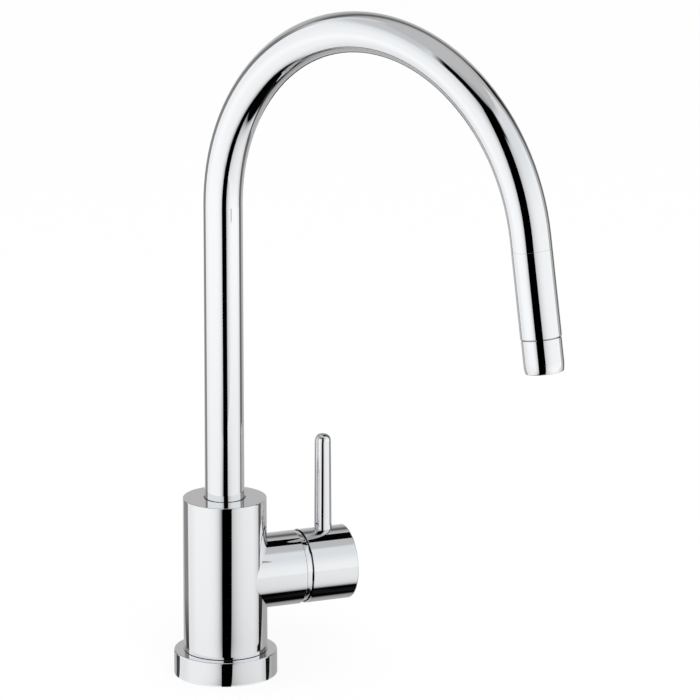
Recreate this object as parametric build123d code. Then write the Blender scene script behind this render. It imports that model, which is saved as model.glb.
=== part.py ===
from build123d import *

import os
from collections import namedtuple
from math import cos, radians, sin

# A single lever kitchen tap for hot, cold and filtered water, with a swan neck spout.
#
# Millimetres. Z points up from the worktop, whose surface is Z = 0, and the body's axis is the
# Z axis. The spout's outlet hangs over -Y, and the arm that carries the lever points sideways.
#
# Three frames carry the pieces:
#   PLAN    X along the arm, Y to its left, Z up: for what lies in the foot of the body
#   ARM     X up, Z outwards along the arm, from the body's axis: for cartridge and lever
#   OUTLET  Z down the outlet's own axis, from the end of the spout's bend

# ------------------------------------------------------------------ driving dimensions

# fits
joint_gap = 0.05        # radial gap of a soldered, glued or threaded joint
running_gap = 0.05      # radial gap of a piece that turns in another
free_gap = 0.25         # between surfaces that pass each other without bearing
slip_gap = 0.02         # between two ceramic faces
overrun = 1.0           # how far a cut runs past the face that it opens

# body and base ring
body_d = 50.0
body_top = 108.0
body_edge = 0.5
ring_d = 61.5
ring_h = 14.5
ring_edge = 0.6
ring_lip = 3.2
gasket_h = 3.0

# inlet block in the foot of the body
block_d = 42.0
block_h = 22.0
block_foot = 4.0
spigot_d = 33.0
spigot_h = 6.0
spigot_shoulder = 2.0
block_seal_d = 2.0
block_seal_play = 0.4
block_seal_land = 3.0
inlet_circle_r = 10.0
inlet_thread_d = 9.0
inlet_thread_h = 12.0

# clamp under the worktop
worktop_t = 30.0
stud_d = 8.0
stud_offset = 11.0
stud_seat_h = 10.0
stud_below = 62.0
stud_chamfer = 0.8
stud_slot_w = 1.2
stud_slot_depth = 1.5
clamp_d = 52.0
clamp_slot_w = 33.0
clamp_slot_end = 5.0
clamp_slot_round = 4.5
clamp_rubber_t = 3.0
clamp_plate_t = 3.0
nut_flats = 13.0
nut_h = 10.0
nut_crown_w = 1.2
nut_crown_h = 0.7

# spout
spout_d = 23.6
spout_wall = 1.3
bend_start = 285.5
bend_r = 116.5
outlet_lean = 8.5
bend_to_sleeve = 7.8
sleeve_h = 49.0
aerator_h = 19.8

# bearing of the spout in the body
glide_wall = 0.75
glide_h = 7.0
glide_recess = 0.8
socket_depth = 32.0
thrust_t = 1.5
thrust_land = 1.0
collar_bore_d = 15.0
collar_shoulder = 0.8
collar_neck_h = 15.0
o_ring_d = 2.1
o_ring_pitch = 4.4
o_ring_play = 0.3
o_ring_land = 1.0
lock_screw_d = 5.0
lock_screw_recess = 1.0
lock_groove_w = 4.0
lock_groove_depth = 2.0
lock_groove_land = 0.6

# filtered water line
feed_d = 6.0
feed_wall = 1.0
nipple_h = 14.0
nipple_seat_h = 4.6
union_wall = 1.6
union_h = 14.0
union_lap = 6.0
feed_end_gap = 1.0
feed_past_sleeve = 4.0

# arm and cartridge
arm_angle = -26.2
arm_drop = 48.0
arm_d = 44.6
arm_end = 44.2
cartridge_d = 35.0
cartridge_seat = 18.0
cartridge_wall = 2.8
base_t = 4.0
seal_t = 1.4
seal_w = 1.1
disc_t = 4.0
fixed_disc_d = 28.0
moving_disc_d = 24.6
pocket_l = 15.2
pocket_w = 9.8
carrier_t = 3.2
carrier_floor = 0.4
rail_in = 8.0
rail_w = 2.4
rail_l = 13.0
rotor_plate_t = 4.6
rotor_neck_d = 18.4
neck_wall = 2.7
cover_t = 2.4
mouth_d = 39.0
mouth_below_cover = 0.5
nut_bore_d = 25.0
notch_l = 1.75
notch_w = 3.0
notch_depth = 1.0

# lever
handle_gap = 4.2
handle_h = 28.5
handle_wall = 2.4
handle_end_t = 3.4
handle_rim = 0.6
handle_rim_h = 5.0
handle_edge = 0.9
boss_d = 17.0
boss_recess = 1.5
boss_wall = 2.5
dome_h = 7.6
dome_gap = 0.4
dome_wall = 2.0
dome_skirt = 0.5
pin_top_d = 9.8
pin_foot_d = 10.6
pin_reach = 80.4
pin_round = 4.0
pin_shank_d = 7.8
pin_seat = 3.5
stem_w = 6.6
stem_tip_d = 6.0
stem_tip_neck = 0.6
pivot_d = 3.0
pivot_recess = 0.6
handle_screw_d = 6.0
handle_screw_tip = 1.5
handle_screw_recess = 1.2

# outlet and aerator
seam_chamfer = 0.3
fine_chamfer = 0.1
bush_wall = 1.6
bush_h = 18.0
aerator_step = 0.25
aerator_round = 24.0
aerator_tuck = 0.7
aerator_edge = 0.4
aerator_groove_h = 0.6
aerator_groove_depth = 0.8
aerator_wall = 1.6
aerator_lip = 1.0
aerator_lip_t = 1.4
shank_h = 7.0
washer_t = 1.5
washer_w = 2.35
insert_recess = 1.0
insert_rim = 0.9
insert_hub = 1.0
vane_count = 8
vane_t = 0.8
vane_recess = 1.0
vane_lap = 0.4
nozzle_d = 6.8
nozzle_cup_h = 8.0
nozzle_recess = 0.4
mesh_t = 1.0
mesh_hole_d = 1.3
mesh_margin = 1.3
mesh_rows = (12, 20)    # holes in the inner and the outer ring

# ------------------------------------------------------------------ dependent sizes

body_r = body_d / 2
ring_r = ring_d / 2
block_r = block_d / 2
block_top = block_foot + block_h
spigot_r = spigot_d / 2
shoulder_r = spigot_r + spigot_shoulder
block_seal_high = block_top - block_seal_land
block_seal_low = block_seal_high - block_seal_d - block_seal_play
gasket_r = ring_r - ring_lip

spout_r = spout_d / 2
spout_bore_r = spout_r - spout_wall
socket_r = spout_r + glide_wall
socket_floor = body_top - socket_depth
collar_low = socket_floor + thrust_t + joint_gap
lower_glide_top = collar_low + glide_h
first_o_ring = lower_glide_top + o_ring_d + o_ring_land
second_o_ring = first_o_ring + o_ring_pitch
lock_height = second_o_ring + o_ring_d + lock_groove_w / 2 + lock_groove_land
upper_glide_low = body_top - glide_recess - glide_h
tube_low = upper_glide_low - collar_shoulder
feed_r = feed_d / 2
nipple_low = socket_floor - nipple_seat_h
nipple_top = nipple_low + nipple_h

arm_r = arm_d / 2
arm_height = body_top - arm_drop
cartridge_r = cartridge_d / 2
base_top = cartridge_seat + base_t
fixed_disc_top = base_top + disc_t
moving_disc_low = fixed_disc_top + slip_gap
carrier_low = moving_disc_low + disc_t
stem_seat = carrier_low + carrier_floor
rotor_low = carrier_low + carrier_t + slip_gap
rotor_plate_top = rotor_low + rotor_plate_t
cover_low = rotor_plate_top + running_gap
cover_top = cover_low + cover_t
pivot_u = arm_end                                  # the lever tilts about this point of the arm
rim_bore_r = arm_r - handle_rim
dome_r = rim_bore_r - dome_gap
handle_low = arm_end + handle_gap
handle_top = handle_low + handle_h
pin_u = (handle_low + handle_top) / 2
boss_low = handle_low + boss_recess
pin_sink = arm_r - pin_seat
stem_side = stem_w / 2 + joint_gap
stem_top = pin_u + pin_shank_d / 2

PLAN = Location((0, 0, 0), (0, 0, arm_angle))
ARM = Plane(
    origin=(0, 0, arm_height),
    x_dir=(0, 0, 1),
    z_dir=(cos(radians(arm_angle)), sin(radians(arm_angle)), 0),
).location
bend_end = (
    0,
    -bend_r * (1 + cos(radians(outlet_lean))),
    bend_start + bend_r * sin(radians(outlet_lean)),
)
OUTLET = Plane(
    origin=bend_end,
    x_dir=(1, 0, 0),
    z_dir=(0, -sin(radians(outlet_lean)), -cos(radians(outlet_lean))),
).location
sleeve_low = bend_to_sleeve
sleeve_end = sleeve_low + sleeve_h
aerator_end = sleeve_end + aerator_h
aerator_r = spout_r - aerator_step
aerator_bore_r = aerator_r - aerator_wall
mesh_top = aerator_end - aerator_lip_t - mesh_t
feed_end = sleeve_end + feed_past_sleeve

# A water way: its mouth in the cartridge's seat, as height above and distance beside the arm's
# axis, the bore, and how far from the body's axis it turns up or down inside the body.
Way = namedtuple("Way", "up side bore turn")
hot_way = Way(up=-5.0, side=-8.0, bore=4.6, turn=0.0)
cold_way = Way(up=-5.0, side=8.0, bore=4.6, turn=0.0)
filtered_way = Way(up=-10.2, side=0.0, bore=4.0, turn=-inlet_circle_r)
mixed_out = Way(up=3.0, side=7.0, bore=5.0, turn=5.0)
filtered_out = Way(up=9.4, side=0.0, bore=4.0, turn=0.0)
inlet_ways = (hot_way, cold_way, filtered_way)
outlet_ways = (mixed_out, filtered_out)


# ------------------------------------------------------------------ small tools


def turned(*outline):
    """A solid of revolution about Z, from the (radius, height) corners of its section."""
    corners = [(radius, 0, height) for radius, height in outline]
    return revolve(make_face(Polyline(*corners, close=True)), axis=Axis.Z)


def ring(outer_r, inner_r, low, high):
    """A ring of rectangular section about Z."""
    return turned((inner_r, low), (outer_r, low), (outer_r, high), (inner_r, high))


def rod(diameter, low, high, x=0.0, y=0.0):
    """A round rod along Z."""
    centred_foot = (Align.CENTER, Align.CENTER, Align.MIN)
    return Pos(x, y, low) * Cylinder(diameter / 2, high - low, align=centred_foot)


def cross_rod(diameter, low, high, height):
    """A round rod along X, at a height on Z."""
    return Pos(0, 0, height) * Rot(0, 90, 0) * rod(diameter, low, high)


def hexagon(flats, low, high):
    """A six sided bar along Z, measured across its flats."""
    face = RegularPolygon(flats / 2, 6, major_radius=False)
    return Pos(0, 0, low) * extrude(face, high - low)


def edges_at(shape, radius, height):
    """The circular edges of one radius at one height."""
    circles = shape.edges().filter_by(GeomType.CIRCLE)
    return [
        edge
        for edge in circles
        if abs(edge.radius - radius) < 0.01 and abs(edge.arc_center.Z - height) < 0.01
    ]


def grub_screw(diameter, tip_d, length, tip):
    """A socket set screw along +Z with a dog point at Z = 0 and its hexagon socket on top."""
    thread = rod(diameter - 2 * joint_gap, tip, length)
    point = rod(tip_d, 0, tip)
    flats = diameter / 2
    socket = hexagon(flats, length - flats, length)
    return thread + point - socket


# ------------------------------------------------------------------ foot of the tap


def base_ring():
    """The wide ring that the body stands on, recessed below for its gasket."""
    bore_r = block_r + joint_gap
    blank = turned(
        (bore_r, gasket_h),
        (gasket_r, gasket_h),
        (gasket_r, 0),
        (ring_r, 0),
        (ring_r, ring_h),
        (bore_r, ring_h),
    )
    return fillet(edges_at(blank, ring_r, ring_h), ring_edge)


def base_gasket():
    """Flat rubber ring in the base ring's recess."""
    return ring(gasket_r - joint_gap, shoulder_r + free_gap, 0, gasket_h)


def inlet_block():
    """Brass block that closes the foot, with three inlet sockets and the stud's seat."""
    groove_r = block_r - block_seal_d + joint_gap
    block = turned(
        (0, -spigot_h),
        (spigot_r, -spigot_h),
        (spigot_r, 0),
        (shoulder_r, 0),
        (shoulder_r, block_foot),
        (block_r, block_foot),
        (block_r, block_seal_low),
        (groove_r, block_seal_low),
        (groove_r, block_seal_high),
        (block_r, block_seal_high),
        (block_r, block_top),
        (0, block_top),
    )
    for x, y in inlet_places():
        block -= rod(inlet_thread_d, -spigot_h, inlet_thread_h - spigot_h, x, y)
    for way in inlet_ways:
        block -= rod(way.bore, 0, block_top, way.turn, way.side)
    return block - rod(stud_d + 2 * joint_gap, -spigot_h, stud_seat_h - spigot_h, stud_offset)


def inlet_places():
    """Centres of the hot, cold and filtered inlet sockets in plan."""
    r = inlet_circle_r
    return ((0, -r), (0, r), (-r, 0))


def block_seal():
    """O-ring between the inlet block and the body."""
    section_r = block_seal_d / 2 - joint_gap
    height = (block_seal_low + block_seal_high) / 2
    return Pos(0, 0, height) * Torus(block_r - section_r, section_r)


def fixing_stud():
    """Threaded rod that pulls the tap down, slotted at its lower end for a screwdriver."""
    blank = rod(stud_d, -stud_below, stud_seat_h - spigot_h, stud_offset)
    end_edges = edges_at(blank, stud_d / 2, -stud_below)
    slot = Pos(stud_offset, 0, -stud_below) * Box(stud_slot_w, stud_d * 2, 2 * stud_slot_depth)
    return chamfer(end_edges, stud_chamfer) - slot


def horseshoe(thickness):
    """Open clamp washer below Z = 0: its slot lets the three inlet hoses pass."""
    disc = Circle(clamp_d / 2)
    slot_l = clamp_d
    slot_shape = RectangleRounded(slot_l, clamp_slot_w, clamp_slot_round)
    slot = Pos(clamp_slot_end - slot_l / 2, 0) * slot_shape
    stud_hole = Pos(stud_offset, 0) * Circle(stud_d / 2 + free_gap)
    return extrude(disc - slot - stud_hole, -thickness)


def horseshoe_gasket():
    """Rubber horseshoe against the worktop's underside."""
    return Pos(0, 0, -worktop_t) * horseshoe(clamp_rubber_t)


def horseshoe_plate():
    """Steel horseshoe that spreads the nut's pull."""
    return Pos(0, 0, -worktop_t - clamp_rubber_t) * horseshoe(clamp_plate_t)


def fixing_nut():
    """Hexagon nut on the stud, with chamfered corners."""
    top = -worktop_t - clamp_rubber_t - clamp_plate_t
    low = top - nut_h
    corner_r = nut_flats / 2 / cos(radians(30))
    crown_r = corner_r - nut_crown_w
    crown = turned(
        (0, low),
        (crown_r, low),
        (corner_r, low + nut_crown_h),
        (corner_r, top - nut_crown_h),
        (crown_r, top),
        (0, top),
    )
    nut = hexagon(nut_flats, low, top) & crown
    hole = rod(stud_d + 2 * joint_gap, low, top)
    return Pos(stud_offset, 0, 0) * (nut - hole)


# ------------------------------------------------------------------ body


def body_ways():
    """The drilled water ways between inlet block, cartridge seat and spout socket."""
    cuts = []
    for way in inlet_ways + outlet_ways:
        level = arm_height + way.up
        across = Pos(way.turn, way.side, level) * Rot(0, 90, 0)
        cuts.append(across * rod(way.bore, -way.bore / 2, cartridge_seat - way.turn))
        if way in inlet_ways:
            cuts.append(rod(way.bore, block_top - overrun, level, way.turn, way.side))
        else:
            cuts.append(rod(way.bore, level, socket_floor + overrun, way.turn, way.side))
    return cuts


def body_shell():
    """Upright body and side arm in one casting, bored for spout, cartridge and inlet block."""
    upright = rod(body_d, ring_h, body_top)
    upright = fillet(edges_at(upright, body_r, body_top), body_edge)
    upright = chamfer(edges_at(upright, body_r, ring_h), seam_chamfer)
    arm = rod(arm_d, 0, arm_end)
    arm = chamfer(edges_at(arm, arm_r, arm_end), seam_chamfer)
    cartridge_bore = rod(cartridge_d + 2 * joint_gap, cartridge_seat, arm_end)
    mouth = rod(mouth_d, cover_top - mouth_below_cover, arm_end)
    nipple_seat = rod(feed_d, nipple_low, socket_floor)
    socket = rod(2 * socket_r, socket_floor, body_top)
    foot = rod(block_d + 2 * joint_gap, ring_h, block_top)
    casting = upright + ARM * arm - ARM * cartridge_bore - ARM * mouth
    casting = casting - socket - nipple_seat - foot - lock_screw_place() * lock_screw_hole()
    for cut in body_ways():
        casting -= PLAN * cut
    return casting


def lock_screw_place():
    """Z runs outwards through the back of the body, across the arm, at the lock groove."""
    return Pos(0, 0, lock_height) * PLAN * Rot(-90, 0, 0)


def lock_screw_hole():
    """The lock screw's hole through the body's wall."""
    return rod(lock_screw_d, socket_r - overrun, body_r + overrun)


def spout_lock_screw():
    """Grub screw whose point runs in the collar's groove and keeps the spout in."""
    tip = spout_r - lock_groove_depth + free_gap
    length = body_r - lock_screw_recess - tip
    dog_point = socket_r + free_gap - tip
    screw = grub_screw(lock_screw_d, lock_groove_w - 4 * free_gap, length, dog_point)
    return lock_screw_place() * Pos(0, 0, tip) * screw


def filtered_nipple():
    """Fixed brass tube on which the filtered line's union turns."""
    return ring(feed_r, feed_r - feed_wall, nipple_low, nipple_top)


def upper_glide_ring():
    """Plastic bearing round the tube, just below the body's top."""
    return ring(
        socket_r - joint_gap,
        spout_r + running_gap,
        upper_glide_low,
        upper_glide_low + glide_h,
    )


def lower_glide_ring():
    """Plastic bearing in the socket's floor, with a flange that carries the spout."""
    flange_top = socket_floor + thrust_t
    bore_r = spout_r + running_gap
    flange_r = collar_bore_d / 2 + thrust_land
    outer_r = socket_r - joint_gap
    return turned(
        (flange_r, socket_floor),
        (outer_r, socket_floor),
        (outer_r, lower_glide_top),
        (bore_r, lower_glide_top),
        (bore_r, flange_top),
        (flange_r, flange_top),
    )


# ------------------------------------------------------------------ cartridge


def port_cuts(low, high, extra=0.0):
    """The five water ports through a disc of the cartridge, in the ARM frame."""
    ways = inlet_ways + outlet_ways
    return [rod(way.bore + extra, low, high, way.up, -way.side) for way in ways]


def cartridge_base():
    """Plastic base of the cartridge, with a counterbore round each port for its seal."""
    base = rod(cartridge_d, cartridge_seat, base_top)
    for cut in port_cuts(cartridge_seat, base_top):
        base -= cut
    for cut in port_cuts(cartridge_seat, cartridge_seat + seal_t, 2 * seal_w):
        base -= cut
    return base


def cartridge_base_seals():
    """One rubber ring round each port, between the cartridge and its seat."""
    seals = []
    for way in inlet_ways + outlet_ways:
        outer_r = way.bore / 2 + seal_w - joint_gap
        seal = ring(outer_r, way.bore / 2, cartridge_seat, cartridge_seat + seal_t)
        seals.append(Pos(way.up, -way.side, 0) * seal)
    return seals


def fixed_disc():
    """Ceramic disc that stays still, with the five ports through it."""
    disc = rod(fixed_disc_d, base_top, fixed_disc_top)
    for cut in port_cuts(base_top, fixed_disc_top):
        disc -= cut
    return disc


def moving_disc():
    """Ceramic disc that slides and turns on the fixed one, with the mixing pocket in its face."""
    disc = rod(moving_disc_d, moving_disc_low, carrier_low)
    pocket_face = Pos(0, 0, moving_disc_low) * SlotOverall(pocket_l, pocket_w)
    return disc - extrude(pocket_face, disc_t / 2)


def disc_carrier():
    """Plastic plate on the moving disc, flat sided between the rotor's rails."""
    plate = rod(moving_disc_d, carrier_low, carrier_low + carrier_t)
    flats = Box(moving_disc_d, 2 * rail_in, 4 * carrier_t)
    plate &= Pos(0, 0, carrier_low) * flats
    return plate - rod(stem_tip_d + 2 * free_gap, stem_seat, carrier_low + carrier_t)


def cartridge_rotor():
    """Turns in the cartridge: a plate with two rails, and a neck slotted for the stem."""
    bore_r = cartridge_r - cartridge_wall
    plate = rod(2 * (bore_r - running_gap), rotor_low, rotor_plate_top)
    neck = rod(rotor_neck_d, rotor_low, pivot_u + pivot_d)
    rotor = plate + neck
    for side in (-1, 1):
        middle = side * (rail_in + free_gap + rail_w / 2)
        rail = Box(rail_l, rail_w, carrier_t)
        rotor += Pos(0, middle, rotor_low - carrier_t / 2 + free_gap) * rail
    slot_l = rotor_neck_d - 2 * neck_wall
    slot_w = stem_w + 4 * running_gap
    slot = Box(slot_l, slot_w, 2 * (pivot_u - rotor_low))
    rotor -= Pos(0, 0, (rotor_low + pivot_u) / 2) * slot
    pin_hole = Pos(0, 0, pivot_u) * Rot(90, 0, 0) * rod(pivot_d, -rotor_neck_d, rotor_neck_d)
    return rotor - pin_hole


def stem_pivot_pin():
    """Steel pin through the rotor's neck, on which the stem tilts."""
    half = rotor_neck_d / 2 - pivot_recess
    return Pos(0, 0, pivot_u) * Rot(90, 0, 0) * rod(pivot_d, -half, half)


def cartridge_housing():
    """Plastic cover of the cartridge, with the opening that the rotor's neck turns in."""
    bore_r = cartridge_r - cartridge_wall
    neck_r = rotor_neck_d / 2 + running_gap
    return turned(
        (bore_r, base_top),
        (cartridge_r, base_top),
        (cartridge_r, cover_top),
        (neck_r, cover_top),
        (neck_r, cover_low),
        (bore_r, cover_low),
    )


def cartridge_nut():
    """Brass ring nut in the arm's mouth, notched for a spanner, that holds the cartridge."""
    outer_r = mouth_d / 2 - joint_gap
    inner_r = nut_bore_d / 2
    nut = ring(outer_r, inner_r, cover_top, arm_end - dome_skirt)
    notch = Box(2 * notch_l, notch_w, 2 * notch_depth)
    for turn in range(0, 360, 60):
        nut -= Rot(0, 0, turn) * Pos(inner_r, 0, arm_end - dome_skirt) * notch
    return nut


def dome_ring():
    """Collar between arm and handle: a zone of the sphere round the lever's pivot point."""
    edge_r = (dome_r**2 - dome_h**2) ** 0.5
    skirt_r = mouth_d / 2 - joint_gap
    inner_r = edge_r - dome_wall
    low = -dome_skirt
    middle = dome_h / 2
    middle_r = (dome_r**2 - middle**2) ** 0.5
    section = [
        Line((inner_r, 0, low), (skirt_r, 0, low)),
        Line((skirt_r, 0, low), (skirt_r, 0, 0)),
        Line((skirt_r, 0, 0), (dome_r, 0, 0)),
        ThreePointArc((dome_r, 0, 0), (middle_r, 0, middle), (edge_r, 0, dome_h)),
        Line((edge_r, 0, dome_h), (inner_r, 0, dome_h)),
        Line((inner_r, 0, dome_h), (inner_r, 0, low)),
    ]
    zone = revolve(make_face(Wire(section)), axis=Axis.Z)
    return Pos(0, 0, pivot_u) * zone


# ------------------------------------------------------------------ lever


def cartridge_stem():
    """Square stem from the disc carrier, through the pivot, into the handle."""
    tip_height = stem_seat + free_gap + stem_tip_d / 2
    shaft_low = tip_height + stem_tip_neck
    shaft = Pos(0, 0, (shaft_low + stem_top) / 2) * Box(stem_w, stem_w, stem_top - shaft_low)
    tip = Pos(0, 0, tip_height) * Sphere(stem_tip_d / 2)
    pivot_hole = rod(pivot_d + 2 * running_gap, -stem_w, stem_w)
    return shaft + tip - Pos(0, 0, pivot_u) * Rot(90, 0, 0) * pivot_hole


def handle_cap():
    """Cylindrical handle: a shell with bosses for stem, lever pin and grub screw."""
    blank = rod(arm_d, handle_low, handle_top)
    blank = fillet(edges_at(blank, arm_r, handle_top), handle_edge)
    rim_top = handle_low + handle_rim_h
    inner_r = arm_r - handle_wall
    ceiling = handle_top - handle_end_t
    cavity = turned(
        (0, handle_low),
        (rim_bore_r, handle_low),
        (rim_bore_r, rim_top),
        (inner_r, rim_top + handle_wall),
        (inner_r, ceiling),
        (0, ceiling),
    )
    boss = rod(boss_d, boss_low, handle_top - handle_wall)
    pin_boss = cross_rod(pin_foot_d + 2 * boss_wall, 0, inner_r, pin_u)
    screw_boss = cross_rod(handle_screw_d + 2 * boss_wall, -inner_r, 0, pin_u)
    cap = blank - cavity + boss + pin_boss + screw_boss
    gap = 2 * joint_gap
    stem_hole = Box(stem_w + gap, stem_w + gap, stem_top - boss_low)
    cap -= Pos(0, 0, (boss_low + stem_top) / 2) * stem_hole
    cap -= cross_rod(pin_shank_d + gap, 0, arm_r, pin_u)
    cap -= cross_rod(pin_foot_d + gap, pin_sink, arm_r + overrun, pin_u)
    return cap - cross_rod(handle_screw_d, -arm_r - overrun, 0, pin_u)


def lever_pin():
    """Slightly tapered round pin, domed on top, with a shank that screws into the handle."""
    top_r = pin_top_d / 2
    foot_r = pin_foot_d / 2
    shank_r = pin_shank_d / 2
    blank = turned(
        (0, stem_side),
        (shank_r, stem_side),
        (shank_r, pin_sink),
        (foot_r, pin_sink),
        (top_r, pin_reach),
        (0, pin_reach),
    )
    blank = fillet(edges_at(blank, top_r, pin_reach), pin_round)
    return Pos(0, 0, pin_u) * Rot(0, 90, 0) * blank


def handle_grub_screw():
    """Grub screw under the handle, against the stem's flat."""
    length = arm_r - handle_screw_recess - stem_side
    screw = grub_screw(handle_screw_d, handle_screw_d / 2, length, handle_screw_tip)
    return Pos(0, 0, pin_u) * Rot(0, -90, 0) * Pos(0, 0, stem_side) * screw


# ------------------------------------------------------------------ spout


def spout_path(low, past_bend):
    """Centre line of the swan neck, from a height in the riser to a length past the bend."""
    foot = (0, 0, low)
    start = (0, 0, bend_start)
    half_turn = radians(180 - outlet_lean) / 2
    crown = (0, -bend_r + bend_r * cos(half_turn), bend_start + bend_r * sin(half_turn))
    lean = radians(outlet_lean)
    end = (0, bend_end[1] - past_bend * sin(lean), bend_end[2] - past_bend * cos(lean))
    return Wire([Line(foot, start), ThreePointArc(start, crown, bend_end), Line(bend_end, end)])


def swan_neck(outer_r, inner_r, low, past_bend):
    """A round tube along the spout's centre line."""
    section = Pos(0, 0, low) * (Circle(outer_r) - Circle(inner_r))
    return sweep(section, path=spout_path(low, past_bend))


def spout_tube():
    """The visible swan neck tube."""
    return swan_neck(spout_r, spout_bore_r, tube_low, sleeve_low)


def spout_collar():
    """Turned brass end of the spout, grooved for two O-rings and the lock screw."""
    groove_r = spout_r - lock_groove_depth
    seal_r = socket_r - running_gap - o_ring_d
    bore_r = collar_bore_d / 2
    outline = [(bore_r, collar_low), (spout_r, collar_low)]
    for height in (first_o_ring, second_o_ring):
        outline += groove(height, o_ring_d + o_ring_play, seal_r)
    outline += groove(lock_height, lock_groove_w, groove_r)
    neck_r = spout_bore_r - joint_gap
    neck_top = tube_low + collar_neck_h
    outline += [(spout_r, tube_low), (neck_r, tube_low), (neck_r, neck_top), (bore_r, neck_top)]
    return turned(*outline)


def groove(height, width, floor_r):
    """Outline corners of one groove round the collar."""
    low = height - width / 2
    high = height + width / 2
    return [(spout_r, low), (floor_r, low), (floor_r, high), (spout_r, high)]


def spout_o_rings():
    """The two O-rings that seal the collar in its socket."""
    section_r = o_ring_d / 2 - slip_gap
    middle_r = socket_r - running_gap - o_ring_d / 2
    heights = (first_o_ring, second_o_ring)
    return [Pos(0, 0, height) * Torus(middle_r, section_r) for height in heights]


def tube_union():
    """Brass union at the foot of the filtered line, turning on the fixed nipple."""
    low = nipple_top - union_lap
    bore_r = feed_r + running_gap
    return ring(bore_r + union_wall, bore_r, low, low + union_h)


def filtered_tube():
    """Plastic tube for the filtered water, inside the whole spout."""
    return swan_neck(feed_r, feed_r - feed_wall, nipple_top + feed_end_gap, feed_end)


# ------------------------------------------------------------------ outlet, in the OUTLET frame


def outlet_bush():
    """Brass bush soldered in the tube's end, over which the outlet sleeve slides."""
    outer_r = spout_bore_r - joint_gap
    return ring(outer_r, outer_r - bush_wall, sleeve_low - bush_h / 2, sleeve_low + bush_h / 2)


def outlet_sleeve():
    """Straight sleeve that carries the aerator, flush with the tube."""
    sleeve = ring(spout_r, spout_bore_r, sleeve_low, sleeve_end)
    sleeve = chamfer(edges_at(sleeve, spout_r, sleeve_end), seam_chamfer)
    return chamfer(edges_at(sleeve, spout_r, sleeve_low), fine_chamfer)


def aerator_housing():
    """Shell screwed into the sleeve below a narrow groove, drawn in to its mouth in one long curve."""
    shank_r = spout_bore_r - joint_gap
    mouth_r = aerator_bore_r - aerator_lip
    lip_low = aerator_end - aerator_lip_t
    groove_r = aerator_r - aerator_groove_depth
    skirt_low = sleeve_end + aerator_groove_h
    curve_h = (aerator_round**2 - (aerator_round - aerator_tuck) ** 2) ** 0.5
    half_way = (aerator_round**2 - (curve_h / 2) ** 2) ** 0.5
    walls = Polyline(
        (aerator_r - aerator_tuck, 0, aerator_end),
        (mouth_r, 0, aerator_end),
        (mouth_r, 0, lip_low),
        (aerator_bore_r, 0, lip_low),
        (aerator_bore_r, 0, sleeve_end - shank_h),
        (shank_r, 0, sleeve_end - shank_h),
        (shank_r, 0, sleeve_end),
        (groove_r, 0, sleeve_end),
        (groove_r, 0, skirt_low),
        (aerator_r, 0, skirt_low),
        (aerator_r, 0, aerator_end - curve_h),
    )
    curve = ThreePointArc(
        (aerator_r, 0, aerator_end - curve_h),
        (aerator_r - aerator_round + half_way, 0, aerator_end - curve_h / 2),
        (aerator_r - aerator_tuck, 0, aerator_end),
    )
    housing = revolve(make_face(Wire([*walls.edges(), curve])), axis=Axis.Z)
    housing = chamfer(edges_at(housing, aerator_r, skirt_low), fine_chamfer)
    return fillet(edges_at(housing, aerator_r - aerator_tuck, aerator_end), aerator_edge)


def aerator_washer():
    """Rubber washer above the aerator."""
    high = sleeve_end - shank_h
    outer_r = spout_bore_r - joint_gap
    return ring(outer_r, outer_r - washer_w, high - washer_t, high)


def aerator_body():
    """Plastic flow straightener: rim, hub for the filtered nozzle and eight vanes."""
    low = sleeve_end - shank_h + insert_recess
    rim_r = aerator_bore_r - joint_gap
    hub_r = nozzle_d / 2 + joint_gap
    rim = ring(rim_r, rim_r - insert_rim, low, mesh_top)
    hub = ring(hub_r + insert_hub, hub_r, low, mesh_top)
    insert = rim + hub
    vane_in = hub_r + vane_lap
    vane_out = rim_r - vane_lap
    vane = Box(vane_out - vane_in, vane_t, mesh_top - low - 2 * vane_recess)
    place = Pos((vane_in + vane_out) / 2, 0, (low + mesh_top) / 2)
    for number in range(vane_count):
        insert += Rot(0, 0, number * 360 / vane_count) * place * vane
    return insert


def aerator_mesh():
    """Perforated plate at the mouth, with two rings of holes round the nozzle."""
    plate = ring(aerator_bore_r - joint_gap, nozzle_d / 2 + joint_gap, mesh_top, mesh_top + mesh_t)
    inner_row = nozzle_d / 2 + mesh_margin
    outer_row = aerator_bore_r - aerator_lip - mesh_margin
    for row_r, count in zip((inner_row, outer_row), mesh_rows):
        for place in PolarLocations(row_r, count):
            plate -= place * rod(mesh_hole_d, mesh_top, mesh_top + mesh_t)
    return plate


def filtered_nozzle():
    """Central nozzle: a cup for the filtered tube above, and its own mouth below."""
    cup_low = feed_end - nozzle_cup_h
    cup_r = nozzle_d / 2
    tube_r = feed_r + joint_gap
    way_r = feed_r - feed_wall
    mouth = aerator_end - nozzle_recess
    return turned(
        (tube_r, cup_low),
        (cup_r, cup_low),
        (cup_r, mouth),
        (way_r, mouth),
        (way_r, feed_end),
        (tube_r, feed_end),
    )


# ------------------------------------------------------------------ assembly

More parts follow.
